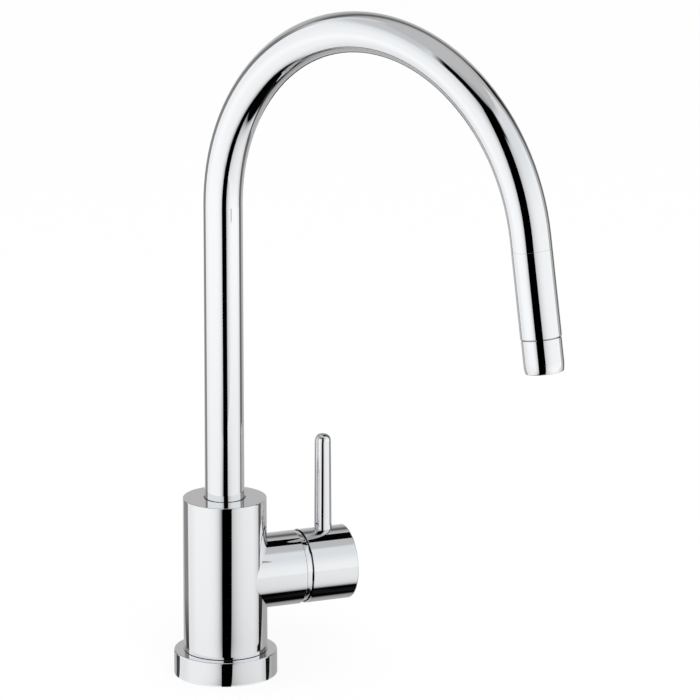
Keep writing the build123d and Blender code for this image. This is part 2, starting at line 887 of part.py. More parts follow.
pieces = {
    "base_ring": base_ring(),
    "base_gasket": base_gasket(),
    "inlet_block": PLAN * inlet_block(),
    "block_seal": block_seal(),
    "fixing_stud": PLAN * fixing_stud(),
    "horseshoe_gasket": PLAN * horseshoe_gasket(),
    "horseshoe_plate": PLAN * horseshoe_plate(),
    "fixing_nut": PLAN * fixing_nut(),
    "body_shell": body_shell(),
    "spout_lock_screw": spout_lock_screw(),
    "filtered_nipple": filtered_nipple(),
    "upper_glide_ring": upper_glide_ring(),
    "lower_glide_ring": lower_glide_ring(),
    "cartridge_base": ARM * cartridge_base(),
    "cartridge_base_seals": ARM * Compound(children=cartridge_base_seals()),
    "fixed_disc": ARM * fixed_disc(),
    "moving_disc": ARM * moving_disc(),
    "disc_carrier": ARM * disc_carrier(),
    "cartridge_rotor": ARM * cartridge_rotor(),
    "stem_pivot_pin": ARM * stem_pivot_pin(),
    "cartridge_housing": ARM * cartridge_housing(),
    "cartridge_nut": ARM * cartridge_nut(),
    "dome_ring": ARM * dome_ring(),
    "cartridge_stem": ARM * cartridge_stem(),
    "handle_cap": ARM * handle_cap(),
    "lever_pin": ARM * lever_pin(),
    "handle_grub_screw": ARM * handle_grub_screw(),
    "spout_tube": spout_tube(),
    "spout_collar": spout_collar(),
    "spout_o_rings": Compound(children=spout_o_rings()),
    "tube_union": tube_union(),
    "filtered_tube": filtered_tube(),
    "outlet_bush": OUTLET * outlet_bush(),
    "outlet_sleeve": OUTLET * outlet_sleeve(),
    "aerator_housing": OUTLET * aerator_housing(),
    "aerator_washer": OUTLET * aerator_washer(),
    "aerator_body": OUTLET * aerator_body(),
    "aerator_mesh": OUTLET * aerator_mesh(),
    "filtered_nozzle": OUTLET * filtered_nozzle(),
}

os.makedirs("parts", exist_ok=True)
for name, piece in pieces.items():
    export_step(piece, f"parts/{name}.step")
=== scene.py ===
"""Looks of the three way filtered water tap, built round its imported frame.

Laid out as an add-on and run as a script. Metres throughout, +Z up, and the sink's top face is at
height 0.
"""

import math

import bpy
import numpy as np
from bpy.props import FloatProperty, FloatVectorProperty, PointerProperty
from mathutils import Matrix, Vector

bl_info = {
    "name": "Filtered water tap",
    "version": (1, 0, 0),
    "blender": (4, 5, 0),
    "location": "View3D > Sidebar > Tap",
    "description": "Chrome, brass, seals, ceramic discs and studio for a filtered water tap",
    "category": "Object",
}

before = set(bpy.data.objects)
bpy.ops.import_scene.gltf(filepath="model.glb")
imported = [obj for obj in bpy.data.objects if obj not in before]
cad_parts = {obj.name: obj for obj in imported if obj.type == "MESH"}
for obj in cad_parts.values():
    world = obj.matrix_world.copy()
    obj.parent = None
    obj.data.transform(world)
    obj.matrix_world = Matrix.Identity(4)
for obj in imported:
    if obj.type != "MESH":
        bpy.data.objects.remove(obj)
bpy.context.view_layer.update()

MM = 0.001


# ---------------------------------------------------------------- colours and shader nodes

# Sockets that share their name with others, by number. Of a Mix node set to colours: its share,
# its two colours, and its output.
SHARE, FIRST, SECOND = 0, 6, 7
MIXED = 2
# Of a Map Range node set to vectors.
FROM_MIN, FROM_MAX, TO_MIN, TO_MAX = 7, 8, 9, 10


def linear(hex_colour):
    """An sRGB hex colour such as #C0C0C0 as linear red, green and blue."""
    digits = hex_colour.lstrip("#")
    srgb = np.array([int(digits[i : i + 2], 16) / 255 for i in (0, 2, 4)])
    return np.where(srgb <= 0.04045, srgb / 12.92, ((srgb + 0.055) / 1.055) ** 2.4).tolist()


def add_node(tree, kind, settings=None, inputs=None):
    """One shader node with its settings.

    An input takes a value, a socket, or a node, whose first output it is.
    """
    node = tree.nodes.new(kind)
    for name, value in (settings or {}).items():
        setattr(node, name, value)
    for name, value in (inputs or {}).items():
        if isinstance(value, bpy.types.Node):
            value = value.outputs[0]
        if isinstance(value, bpy.types.NodeSocket):
            tree.links.new(value, node.inputs[name])
        else:
            node.inputs[name].default_value = value
    return node


def new_material(name):
    """An empty material and the tree to build it in."""
    made = bpy.data.materials.new(name)
    made.use_nodes = True
    made.node_tree.nodes.clear()
    return made, made.node_tree


def finish_nodes(material, *node_names):
    """Gives CAD nodes, whose shape is right as it is, their real finish."""
    for name in node_names:
        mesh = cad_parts[name].data
        mesh.materials.clear()
        mesh.materials.append(material)


# ---------------------------------------------------------------- finishes


def polished_chrome(settings):
    """Brass, polished by hand and chromed: a mirror, hazy in patches, with painted crease shade.
    """
    made, tree = new_material("polished_chrome")
    place = add_node(tree, "ShaderNodeTexCoord").outputs["Object"]
    # painted shade in the creases: within about 1 mm of one, ambient occlusion turns the
    # chrome's colour towards this dark grey
    crease_shade_grey = linear("#3A3836")
    crease = add_node(tree, "ShaderNodeAmbientOcclusion", {"samples": 8}, {"Distance": 1.2 * MM})
    depth = add_node(tree, "ShaderNodeMapRange", None, {
        "Value": crease.outputs["AO"], "From Min": 0.2, "From Max": 0.7})
    tint = add_node(tree, "ShaderNodeMix", {"data_type": "RGBA"}, {
        SHARE: depth, FIRST: (*crease_shade_grey, 1), SECOND: (*settings.chrome_colour, 1)})
    # haze in patches about 9 mm wide, as the buffing wheel leaves it, and how many times rougher
    # than the best polish it gets
    haziest = 2.2
    haze = add_node(tree, "ShaderNodeTexNoise", None, {
        "Vector": place, "Scale": 1 / (9 * MM), "Detail": 4.0})
    rough = add_node(tree, "ShaderNodeMapRange", None, {
        "Value": haze, "From Min": 0.35, "From Max": 0.7,
        "To Min": settings.polish, "To Max": haziest * settings.polish})
    shader = add_node(tree, "ShaderNodeBsdfPrincipled", None, {
        "Base Color": tint.outputs[MIXED], "Metallic": 1.0, "Roughness": rough})
    add_node(tree, "ShaderNodeOutputMaterial", None, {"Surface": shader})
    return made


def turned_brass(settings):
    """Bare brass as the lathe and the drill leave it: satin and yellow, with fine rings."""
    made, tree = new_material("turned_brass")
    place = add_node(tree, "ShaderNodeTexCoord").outputs["Object"]
    # tool marks 0.4 mm apart, drawn coarser than the real 0.1 mm so that they show. At a scale
    # of 1 the node draws 20 bands in a length of tau
    marks = add_node(tree, "ShaderNodeTexWave", {"bands_direction": "Z", "wave_profile": "TRI"}, {
        "Vector": place, "Scale": math.tau / 20 / (0.4 * MM), "Distortion": 1.5, "Detail": 2.0})
    # a dull film from handling, in patches about 7 mm wide
    dull = linear("#A88A4E")
    film = add_node(tree, "ShaderNodeTexNoise", None, {
        "Vector": place, "Scale": 1 / (7 * MM), "Detail": 5.0})
    tint = add_node(tree, "ShaderNodeMix", {"data_type": "RGBA"}, {
        SHARE: film, FIRST: (*settings.brass_colour, 1), SECOND: (*dull, 1)})
    rough = add_node(tree, "ShaderNodeMapRange", None, {
        "Value": film, "To Min": 0.2, "To Max": 0.42})
    relief = add_node(tree, "ShaderNodeBump", None, {"Height": marks, "Distance": 0.01 * MM})
    shader = add_node(tree, "ShaderNodeBsdfPrincipled", None, {
        "Base Color": tint.outputs[MIXED], "Metallic": 1.0, "Roughness": rough, "Normal": relief})
    add_node(tree, "ShaderNodeOutputMaterial", None, {"Surface": shader})
    return made


def machined_stainless(settings):
    """Stainless bar, turned and threaded: neutral grey, brushed round by the tool."""
    made, tree = new_material("machined_stainless")
    place = add_node(tree, "ShaderNodeTexCoord").outputs["Object"]
    # scratches about 0.25 mm apart, drawn out 14 times as long round the piece
    drawn_out = 14
    stretched = add_node(tree, "ShaderNodeMapping", None, {
        "Vector": place, "Scale": (1, 1, drawn_out)})
    marks = add_node(tree, "ShaderNodeTexNoise", None, {
        "Vector": stretched, "Scale": 1 / (0.25 * drawn_out * MM), "Detail": 4.0})
    rough = add_node(tree, "ShaderNodeMapRange", None, {
        "Value": marks, "To Min": 0.18, "To Max": 0.34})
    relief = add_node(tree, "ShaderNodeBump", None, {"Height": marks, "Distance": 0.004 * MM})
    shader = add_node(tree, "ShaderNodeBsdfPrincipled", None, {
        "Base Color": (*settings.steel_colour, 1), "Metallic": 1.0, "Roughness": rough,
        "Normal": relief})
    add_node(tree, "ShaderNodeOutputMaterial", None, {"Surface": shader})
    return made


def zinc_plated_steel():
    """Pressed steel, zinc plated and passivated: a bluish grey with crystals of zinc."""
    made, tree = new_material("zinc_plated_steel")
    place = add_node(tree, "ShaderNodeTexCoord").outputs["Object"]
    # crystals a millimetre or two across
    crystals = add_node(tree, "ShaderNodeTexVoronoi", None, {
        "Vector": place, "Scale": 1 / (1.6 * MM)})
    bright, deep = linear("#C9CED1"), linear("#A9B0B6")
    tint = add_node(tree, "ShaderNodeMix", {"data_type": "RGBA"}, {
        SHARE: crystals, FIRST: (*bright, 1), SECOND: (*deep, 1)})
    rough = add_node(tree, "ShaderNodeMapRange", None, {
        "Value": crystals, "To Min": 0.28, "To Max": 0.45})
    shader = add_node(tree, "ShaderNodeBsdfPrincipled", None, {
        "Base Color": tint.outputs[MIXED], "Metallic": 1.0, "Roughness": rough})
    add_node(tree, "ShaderNodeOutputMaterial", None, {"Surface": shader})
    return made


def moulded_rubber(settings):
    """EPDM rubber from a blasted mould: nearly black and matt, with a trace of grey bloom."""
    made, tree = new_material("moulded_rubber")
    place = add_node(tree, "ShaderNodeTexCoord").outputs["Object"]
    # the mould's grain, 0.3 mm wide, and bloom in patches about 6 mm wide
    grain = add_node(tree, "ShaderNodeTexNoise", None, {
        "Vector": place, "Scale": 1 / (0.3 * MM), "Detail": 2.0})
    bloom = add_node(tree, "ShaderNodeTexNoise", None, {
        "Vector": place, "Scale": 1 / (6 * MM), "Detail": 4.0})
    grey = linear("#2A2A2B")
    tint = add_node(tree, "ShaderNodeMix", {"data_type": "RGBA"}, {
        SHARE: bloom, FIRST: (*settings.rubber_colour, 1), SECOND: (*grey, 1)})
    relief = add_node(tree, "ShaderNodeBump", None, {"Height": grain, "Distance": 0.02 * MM})
    shader = add_node(tree, "ShaderNodeBsdfPrincipled", None, {
        "Base Color": tint.outputs[MIXED], "Roughness": 0.62, "Specular IOR Level": 0.4,
        "Normal": relief})
    add_node(tree, "ShaderNodeOutputMaterial", None, {"Surface": shader})
    return made


def moulded_acetal(name, colour, shade):
    """Acetal from a polished mould: opaque and slippery, a satin gloss with faint flow marks."""
    made, tree = new_material(name)
    place = add_node(tree, "ShaderNodeTexCoord").outputs["Object"]
    # flow marks about 5 mm wide
    flow = add_node(tree, "ShaderNodeTexNoise", None, {
        "Vector": place, "Scale": 1 / (5 * MM), "Detail": 3.0, "Distortion": 1.2})
    tint = add_node(tree, "ShaderNodeMix", {"data_type": "RGBA"}, {
        SHARE: flow, FIRST: (*linear(colour), 1), SECOND: (*linear(shade), 1)})
    rough = add_node(tree, "ShaderNodeMapRange", None, {
        "Value": flow, "To Min": 0.3, "To Max": 0.44})
    shader = add_node(tree, "ShaderNodeBsdfPrincipled", None, {
        "Base Color": tint.outputs[MIXED], "Roughness": rough,
        "Subsurface Weight": 0.05, "Subsurface Scale": 2 * MM})
    add_node(tree, "ShaderNodeOutputMaterial", None, {"Surface": shader})
    return made


def lapped_alumina(settings):
    """Alumina ceramic, fired and lapped flat: cool ivory white, dense, with a sheen."""
    made, tree = new_material("lapped_alumina")
    place = add_node(tree, "ShaderNodeTexCoord").outputs["Object"]
    # clusters of grains about 0.8 mm wide, drawn coarser than the real grain so that they show
    grains = add_node(tree, "ShaderNodeTexNoise", None, {
        "Vector": place, "Scale": 1 / (0.8 * MM), "Detail": 5.0})
    warm = linear("#DCD7C8")
    tint = add_node(tree, "ShaderNodeMix", {"data_type": "RGBA"}, {
        SHARE: grains, FIRST: (*settings.ceramic_colour, 1), SECOND: (*warm, 1)})
    rough = add_node(tree, "ShaderNodeMapRange", None, {
        "Value": grains, "To Min": 0.14, "To Max": 0.26})
    shader = add_node(tree, "ShaderNodeBsdfPrincipled", None, {
        "Base Color": tint.outputs[MIXED], "Roughness": rough, "IOR": 1.76})
    add_node(tree, "ShaderNodeOutputMaterial", None, {"Surface": shader})
    return made


# ---------------------------------------------------------------- what a user can change


class TapFinishSettings(bpy.types.PropertyGroup):
    """Colours and polish of the tap's finishes."""

    chrome_colour: FloatVectorProperty(
        name="Chrome", description="Colour that the chrome gives to what it mirrors",
        subtype="COLOR", size=3, min=0, max=1, default=linear("#E7E8EA"))
    polish: FloatProperty(
        name="Haze", description="Roughness of the best polished chrome",
        subtype="FACTOR", min=0, max=0.3, default=0.022)
    brass_colour: FloatVectorProperty(
        name="Brass", description="Colour of freshly turned brass",
        subtype="COLOR", size=3, min=0, max=1, default=linear("#D9BE7C"))
    steel_colour: FloatVectorProperty(
        name="Stainless", description="Colour of the stainless steel",
        subtype="COLOR", size=3, min=0, max=1, default=linear("#C9CACA"))
    rubber_colour: FloatVectorProperty(
        name="Rubber", description="Colour of the seals and gaskets",
        subtype="COLOR", size=3, min=0, max=1, default=linear("#161617"))
    ceramic_colour: FloatVectorProperty(
        name="Ceramic", description="Colour of the cartridge's discs",
        subtype="COLOR", size=3, min=0, max=1, default=linear("#EFEBDF"))


class TapStudioSettings(bpy.types.PropertyGroup):
    """The studio round the tap."""

    floor_size: FloatProperty(
        name="Floor", description="Half the width of the studio floor",
        subtype="DISTANCE", min=1, max=100, default=30)
    daylight: FloatProperty(
        name="Room light", description="Brightness of the plain light from all round",
        min=0, max=2, default=0.9)
    lamp_power: FloatProperty(
        name="Lamp", description="Power of the large soft lamp above the tap",
        subtype="POWER", unit="POWER", min=0, max=1000, default=20)
    lens: FloatProperty(
        name="Lens", description="Focal length on a 36 mm wide sensor, in millimetres",
        subtype="DISTANCE_CAMERA", min=10, max=600, default=261.42)


# ---------------------------------------------------------------- pieces


class TAP_OT_chrome(bpy.types.Operator):
    """Chromes every piece that shows above the sink, and the two just behind its joints"""

    bl_idname = "tap.chrome"
    bl_label = "Chromed pieces"

    def execute(self, context):
        finish_nodes(
            polished_chrome(context.scene.tap_finish),
            "body_shell", "base_ring", "dome_ring", "handle_cap", "lever_pin", "spout_tube",
            "outlet_sleeve", "aerator_housing", "spout_collar", "cartridge_nut")
        return {"FINISHED"}


class TAP_OT_metal(bpy.types.Operator):
    """Gives the brass and steel pieces inside and below the tap their machined finishes"""

    bl_idname = "tap.metal"
    bl_label = "Brass and steel pieces"

    def execute(self, context):
        settings = context.scene.tap_finish
        finish_nodes(
            turned_brass(settings), "inlet_block", "filtered_nipple", "tube_union", "fixing_nut")
        finish_nodes(
            machined_stainless(settings),
            "fixing_stud", "spout_lock_screw", "handle_grub_screw", "stem_pivot_pin",
            "aerator_mesh", "cartridge_stem", "filtered_tube")
        finish_nodes(zinc_plated_steel(), "horseshoe_plate")
        return {"FINISHED"}


class TAP_OT_seals(bpy.types.Operator):
    """Makes the gaskets and rings of rubber"""

    bl_idname = "tap.seals"
    bl_label = "Gaskets and seals"

    def execute(self, context):
        finish_nodes(
            moulded_rubber(context.scene.tap_finish),
            "base_gasket", "block_seal", "horseshoe_gasket", "cartridge_base_seals",
            "spout_o_rings", "aerator_washer")
        return {"FINISHED"}


class TAP_OT_plastic(bpy.types.Operator):
    """Makes the bearings, the cartridge and the flow straightener of moulded plastic"""

    bl_idname = "tap.plastic"
    bl_label = "Plastic pieces"

    def execute(self, context):
        glide = moulded_acetal("natural_acetal", "#DEDDD8", "#D2D1CB")
        grey = moulded_acetal("grey_acetal", "#C3C5C6", "#B4B6B8")
        white = moulded_acetal("white_acetal", "#F0F0EE", "#E4E4E1")
        finish_nodes(glide, "upper_glide_ring", "lower_glide_ring", "outlet_bush")
        finish_nodes(
            grey, "cartridge_housing", "cartridge_base", "cartridge_rotor", "disc_carrier")
        finish_nodes(white, "aerator_body", "filtered_nozzle")
        return {"FINISHED"}


class TAP_OT_discs(bpy.types.Operator):
    """Makes the two discs that mix and shut off the water of ceramic"""

    bl_idname = "tap.discs"
    bl_label = "Ceramic discs"

    def execute(self, context):
        finish_nodes(lapped_alumina(context.scene.tap_finish), "fixed_disc", "moving_disc")
        return {"FINISHED"}


# ---------------------------------------------------------------- measures of the studio

WHITE = (*linear("#FFFFFF"), 1)

# Directions in plan as the camera sees the tap: to its right, and towards the camera.
RIGHT, TOWARD = np.array((0.6613, -0.7501, 0)), np.array((-0.7501, -0.6613, 0))

# Where the camera stands, where it looks and what is level to its right, as fitted to the
# photograph.
CAMERA_PLACE = (-2.11873836, -1.96678686, 0.9485)
CAMERA_FORWARD = (0.72602119, 0.64007378, -0.25139371)
CAMERA_RIGHT = (0.66131187, -0.75011107, 0)

# The soft lamp: the side of its square, where it hangs and what it points at.
LAMP_SIDE = 1.6
LAMP_PLACE = (-1.2, -1.6, 2.0)
LAMP_AIM = (0, -0.08, 0.2)

# How much of the floor's own white the camera sees. The rest takes the tap's shadow.
FLOOR_GLOW = 0.82

# What stands round the tap far off and is mirrored in it, from the first laid to the last: how
# far it reaches across and up, how softly each of the two fades, and its grey. On the walls,
# which are all round, both are in degrees, and across is the bearing from the camera's side
# towards its right. On the backdrop, which is flat and straight behind the tap, both are
# lengths, with its distance from the tap as the unit.
WALLS, BACKDROP = "walls", "backdrop"
WALL_WHITE = "#FCFDFD"
STUDIO = (
    ("walls above the lamp", WALLS, (-400, 400), (-6, 100), (1, 10), "#F4F5F5"),
    ("tops of the walls", WALLS, (-400, 400), (26, 100), (1, 20), "#DCDFE1"),
    ("left wall's top", WALLS, (-128, -62), (39, 60), (8, 6), "#C5C6C8"),
    ("backdrop", BACKDROP, (-1.0, 2.4), (-20, 20), (0.12, 1), "#B2B1B0"),
    ("backdrop's middle", BACKDROP, (-0.65, 0.30), (-0.5, 0.10), (0.25, 0.22), "#FAFAFA"),
    ("backdrop's foot", BACKDROP, (-1.0, 2.4), (-20, -0.31), (0.12, 0.04), "#B7B6B5"),
    ("backdrop's top", BACKDROP, (-1.1, 1.2), (0.68, 1.1), (0.15, 0.28), "#484645"),
    ("backdrop's right", BACKDROP, (0.6, 1.2), (0.3, 1.0), (0.25, 0.3), "#4A4847"),
    ("ceiling", WALLS, (-400, 400), (57, 100), (1, 3.5), "#BABABA"),
    ("ceiling over the gap", WALLS, (-38, 30), (54, 68), (14, 6), "#A7A7A7"),
    ("left wall's shade", WALLS, (-130, -95), (-60, 30), (14, 8), "#F0F1F2"),
    ("right wall's shade", WALLS, (96, 118), (-50, -13), (14, 4), "#D8D8D8"),
    ("top of the gap", WALLS, (-56, 24), (40.5, 57.5), (6, 2.5), "#040303"),
)
# The walls are lit cloth, brighter than the plain white that the camera sees behind the tap.
WALL_STRENGTH = 1.2
# Keeps the backdrop's division finite in directions that don't go behind the tap.
LEAST_BEHIND = 0.001

# The black gap between two lamps, and two grey stands, each a panel with its foot on the
# worktop, and a painted reflection of each panel on the worktop, a wedge from the tap's foot out
# to the panel. They stand near the tap and show only in the chrome. Corners to the right,
# towards the camera and up.
GAP_PANEL = ((-0.039, 0.545, 0), (0.280, 0.730, 0), (0.280, 0.730, 1.0), (-0.039, 0.545, 1.0))
GAP_FLOOR_REFLECTION = (
    (-0.0016, 0.0295, 0), (-0.010, 0.090, 0), (-0.027, 0.226, 0), (-0.035, 0.374, 0),
    (-0.039, 0.545, 0), (0.280, 0.730, 0), (0.213, 0.557, 0), (0.128, 0.355, 0),
    (0.075, 0.225, 0), (0.0225, 0.087, 0), (0.0035, 0.0295, 0))
SIDE_PANEL = ((0.526, -0.149, 0), (0.400, -0.300, 0), (0.400, -0.300, 0.8), (0.526, -0.149, 0.8))
SIDE_FLOOR_REFLECTION = (
    (0.0236, 0.0189, 0), (0.082, 0.0065, 0), (0.087, -0.003, 0), (0.184, -0.029, 0),
    (0.357, -0.082, 0), (0.526, -0.149, 0), (0.400, -0.300, 0), (0.334, -0.150, 0),
    (0.160, -0.080, 0), (0.110, -0.036, 0), (0.082, -0.014, 0), (0.0242, 0.0177, 0))
BACK_PANEL = (
    (-0.150, -0.060, 0), (-0.110, -0.131, 0), (-0.110, -0.131, 0.6), (-0.150, -0.060, 0.6))
BACK_FLOOR_REFLECTION = (
    (-0.0262, 0.0145, 0), (-0.079, -0.019, 0), (-0.150, -0.060, 0), (-0.110, -0.131, 0),
    (-0.069, -0.0415, 0), (-0.0276, 0.0117, 0))

# A black plank level above the handle: the arm's direction and the one across it, the plank's
# corners along the two, and its height.
ALONG_ARM, ACROSS_ARM = np.array((0.8973, -0.4415, 0)), np.array((-0.4415, -0.8973, 0))
PLANK = ((0.08, -0.085), (0.22, -0.085), (0.22, 0.02), (0.08, 0.02))
PLANK_LEVEL = 0.30

# A round black mat far below the tap: its middle, radius and level, the power of the distance at
# which it fades outside its radius, and how many radii its card reaches.
MAT_MIDDLE, MAT_RADIUS, MAT_LEVEL = (0.07, -0.231), 0.59, -1.15
MAT_FADE, MAT_REACH = 4.5, 3

# The sheet that shades the worktop: its radius and level, and the distances from the tap's axis
# through which all its shade goes.
SHADE_RADIUS, SHADE_LEVEL, SHADE_END = 1.3, 0.6 * MM, (0.5, 1.2)

# Its shade round the tap's foot: the share that it takes away on the left and on the right, both
# at FOOT_R from the tap's axis, the power of the distance at which that falls, the distance
# nearer than which it rises no further, and how far right of straight ahead is the right, as
# the sine of the angle.
FOOT_SHADE, FOOT_R, FOOT_FALL, FOOT_LEAST, FOOT_RIGHT = (0.2, 0.34), 0.03, 0.4, 0.1, 0.7

# How the shade falls off on each side of the gap: its share at a place, that place, and the
# stretch in which it falls to 1/e. On the worktop as bearings from the camera's side, and in
# front of the gap's panel as metres to the right.
FLOOR_FALLS = (
    (1.0, math.radians(-5), math.radians(8)), (0.45, math.radians(20), math.radians(14)))
PANEL_FALLS = ((0.5, -0.039, 0.08), (0.4, 0.25, 0.13))
PANEL_SHADE = ((-0.45, 0.54, 0), (1.0, 0.54, 0), (1.0, 0.54, 0.95), (-0.45, 0.54, 0.95))

# On the worktop that shade comes up from GAP_LEAST of itself to the whole through the distances
# in GAP_NEAR, and goes through those in GAP_FAR.
GAP_LEAST, GAP_NEAR, GAP_FAR = 0.55, (0.05, 0.11), (0.35, 0.75)


# ---------------------------------------------------------------- light and floor


def studio_grey(tree):
    """The grey in each direction: the walls, with each patch laid over what came before it."""
    ray = add_node(tree, "ShaderNodeTexCoord")
    toward = add_node(tree, "ShaderNodeVectorMath", {"operation": "DOT_PRODUCT"}, {
        0: ray, 1: TOWARD}).outputs["Value"]
    right = add_node(tree, "ShaderNodeVectorMath", {"operation": "DOT_PRODUCT"}, {
        0: ray, 1: RIGHT}).outputs["Value"]
    up = add_node(tree, "ShaderNodeSeparateXYZ", None, {0: ray}).outputs["Z"]
    bearing = add_node(tree, "ShaderNodeMath", {"operation": "ARCTAN2"}, {0: right, 1: toward})
    height = add_node(tree, "ShaderNodeMath", {"operation": "ARCSINE"}, {0: up})
    both = add_node(tree, "ShaderNodeCombineXYZ", None, {0: bearing, 1: height})
    away = add_node(tree, "ShaderNodeMath", {"operation": "MULTIPLY"}, {0: toward, 1: -1.0})
    behind = add_node(tree, "ShaderNodeMath", {"operation": "MAXIMUM"}, {
        0: away, 1: LEAST_BEHIND})
    inverse = add_node(tree, "ShaderNodeMath", {"operation": "DIVIDE"}, {0: 1.0, 1: behind})
    flat = add_node(tree, "ShaderNodeCombineXYZ", None, {0: right, 1: up})
    places = {
        WALLS: add_node(tree, "ShaderNodeVectorMath", {"operation": "SCALE"}, {
            0: both, "Scale": math.degrees(1)}),
        BACKDROP: add_node(tree, "ShaderNodeVectorMath", {"operation": "SCALE"}, {
            0: flat, "Scale": inverse}),
    }
    walls = add_node(tree, "ShaderNodeRGB")
    walls.outputs[0].default_value = (*linear(WALL_WHITE), 1)
    grey = walls.outputs[0]
    for _, place, across, rise, soft, colour in STUDIO:
        # X and Y go from 0 to 1 over the patch's first two edges, and back over the other two
        sides = []
        for edge, before, after in ((0, 0, 1), (1, 1, 0)):
            sides.append(add_node(
                tree, "ShaderNodeMapRange",
                {"data_type": "FLOAT_VECTOR", "interpolation_type": "SMOOTHSTEP"}, {
                    "Vector": places[place],
                    FROM_MIN: (across[edge] - soft[0], rise[edge] - soft[1], -1),
                    FROM_MAX: (across[edge] + soft[0], rise[edge] + soft[1], 1),
                    TO_MIN: (before,) * 3, TO_MAX: (after,) * 3}).outputs["Vector"])
        inside = add_node(tree, "ShaderNodeVectorMath", {"operation": "MULTIPLY"}, {
            0: sides[0], 1: sides[1]})
        parts = add_node(tree, "ShaderNodeSeparateXYZ", None, {0: inside})
        mask = add_node(tree, "ShaderNodeMath", {"operation": "MULTIPLY"}, {
            0: parts.outputs["X"], 1: parts.outputs["Y"]})
        grey = add_node(tree, "ShaderNodeMix", {"data_type": "RGBA"}, {
            SHARE: mask, FIRST: grey, SECOND: (*linear(colour), 1)}).outputs[MIXED]
    return grey


def light_world(context, daylight):
    """White to the camera, plain light for matt surfaces, and the studio's walls in the chrome."""
    world = bpy.data.worlds.new("studio")
    context.scene.world = world
    world.use_nodes = True
    world.cycles.sampling_method = "NONE"
    tree = world.node_tree
    tree.nodes.clear()
    path = add_node(tree, "ShaderNodeLightPath")
    plain = add_node(tree, "ShaderNodeBackground", None, {"Color": WHITE, "Strength": daylight})
    mirrored = add_node(tree, "ShaderNodeBackground", None, {
        "Color": studio_grey(tree), "Strength": WALL_STRENGTH})
    behind = add_node(tree, "ShaderNodeBackground", None, {"Color": WHITE, "Strength": 1.0})
    lit = add_node(tree, "ShaderNodeMixShader", None, {
        0: path.outputs["Is Glossy Ray"], 1: plain, 2: mirrored})
    seen = add_node(tree, "ShaderNodeMixShader", None, {
        0: path.outputs["Is Camera Ray"], 1: lit, 2: behind})
    add_node(tree, "ShaderNodeOutputWorld", None, {"Surface": seen})


def pale_floor_material():
    """Matt white worktop paint. It reads white, and takes the tap's shadow at part strength."""
    made, tree = new_material("pale_floor")
    matt = add_node(tree, "ShaderNodeBsdfDiffuse", None, {"Color": WHITE})
    glow = add_node(tree, "ShaderNodeEmission", None, {"Color": WHITE, "Strength": 1.0})
    path = add_node(tree, "ShaderNodeLightPath")
    share = add_node(tree, "ShaderNodeMath", {"operation": "MULTIPLY"}, {
        0: path.outputs["Is Camera Ray"], 1: FLOOR_GLOW})
    both = add_node(tree, "ShaderNodeMixShader", None, {0: share, 1: matt, 2: glow})
    add_node(tree, "ShaderNodeOutputMaterial", None, {"Surface": both})
    return made


def studio_floor(context, half):
    """A square floor at the height of the sink's top face, x and y from -half to half."""
    mesh = bpy.data.meshes.new("studio_floor")
    corners = np.array([(-1, -1, 0), (1, -1, 0), (1, 1, 0), (-1, 1, 0)]) * half
    mesh.from_pydata(corners.tolist(), [], [(0, 1, 2, 3)])
    mesh.materials.append(pale_floor_material())
    floor = bpy.data.objects.new("studio_floor", mesh)
    context.scene.collection.objects.link(floor)
    floor.visible_glossy = False


# ---------------------------------------------------------------- what the chrome mirrors


def seen_from_camera(corners):
    """Corners given to the right, towards the camera and up, as places round the tap."""
    right, toward, up = np.array(corners).T[:, :, None]
    return right * RIGHT + toward * TOWARD + up * (0, 0, 1)


def circle(middle, radius, level):
    """The 64 corners of a level card that is as good as round."""
    turn = np.linspace(0, math.tau, 64, endpoint=False)
    x, y = middle[0] + radius * np.cos(turn), middle[1] + radius * np.sin(turn)
    return np.column_stack((x, y, np.full(len(turn), level)))


def mirrored_card(context, name, outline, material):
    """A flat card with the given corners, which only mirrored rays meet."""
    mesh = bpy.data.meshes.new(name)
    corners = [tuple(map(float, corner)) for corner in outline]
    mesh.from_pydata(corners, [], [tuple(range(len(corners)))])
    mesh.materials.append(material)
    card = bpy.data.objects.new(name, mesh)
    context.scene.collection.objects.link(card)
    card.visible_camera = card.visible_diffuse = False
    card.visible_transmission = card.visible_shadow = False


def black_mat(context):
    """The black mat, seen where the chrome faces down, which fades fast outside its radius."""
    made, tree = new_material("black_mat")
    place = add_node(tree, "ShaderNodeTexCoord").outputs["Object"]
    out = add_node(tree, "ShaderNodeVectorMath", {"operation": "DISTANCE"}, {
        0: place, 1: (*MAT_MIDDLE, MAT_LEVEL)})
    share = add_node(tree, "ShaderNodeMath", {"operation": "DIVIDE"}, {
        0: MAT_RADIUS, 1: out.outputs["Value"]})
    cover = add_node(tree, "ShaderNodeMath", {"operation": "POWER", "use_clamp": True}, {
        0: share, 1: MAT_FADE})
    black = add_node(tree, "ShaderNodeEmission", None, {"Color": (*linear("#080707"), 1)})
    clear = add_node(tree, "ShaderNodeBsdfTransparent")
    both = add_node(tree, "ShaderNodeMixShader", None, {0: cover, 1: clear, 2: black})
    add_node(tree, "ShaderNodeOutputMaterial", None, {"Surface": both})
    mirrored_card(
        context, "black_mat", circle(MAT_MIDDLE, MAT_REACH * MAT_RADIUS, MAT_LEVEL), made)


def black_cards(context):
    """The plank above the handle, the gap between the lamps, and its painted worktop reflection.
    """
    made, tree = new_material("black_card")
    black = add_node(tree, "ShaderNodeEmission", None, {"Color": (*linear("#060505"), 1)})
    add_node(tree, "ShaderNodeOutputMaterial", None, {"Surface": black})
    plank = [u * ALONG_ARM + v * ACROSS_ARM + (0, 0, PLANK_LEVEL) for u, v in PLANK]
    mirrored_card(context, "black_plank", plank, made)
    mirrored_card(context, "gap_panel", seen_from_camera(GAP_PANEL), made)
    # the gap's painted reflection on the worktop: black from the tap's foot out to the panel
    mirrored_card(context, "gap_floor_reflection", seen_from_camera(GAP_FLOOR_REFLECTION), made)


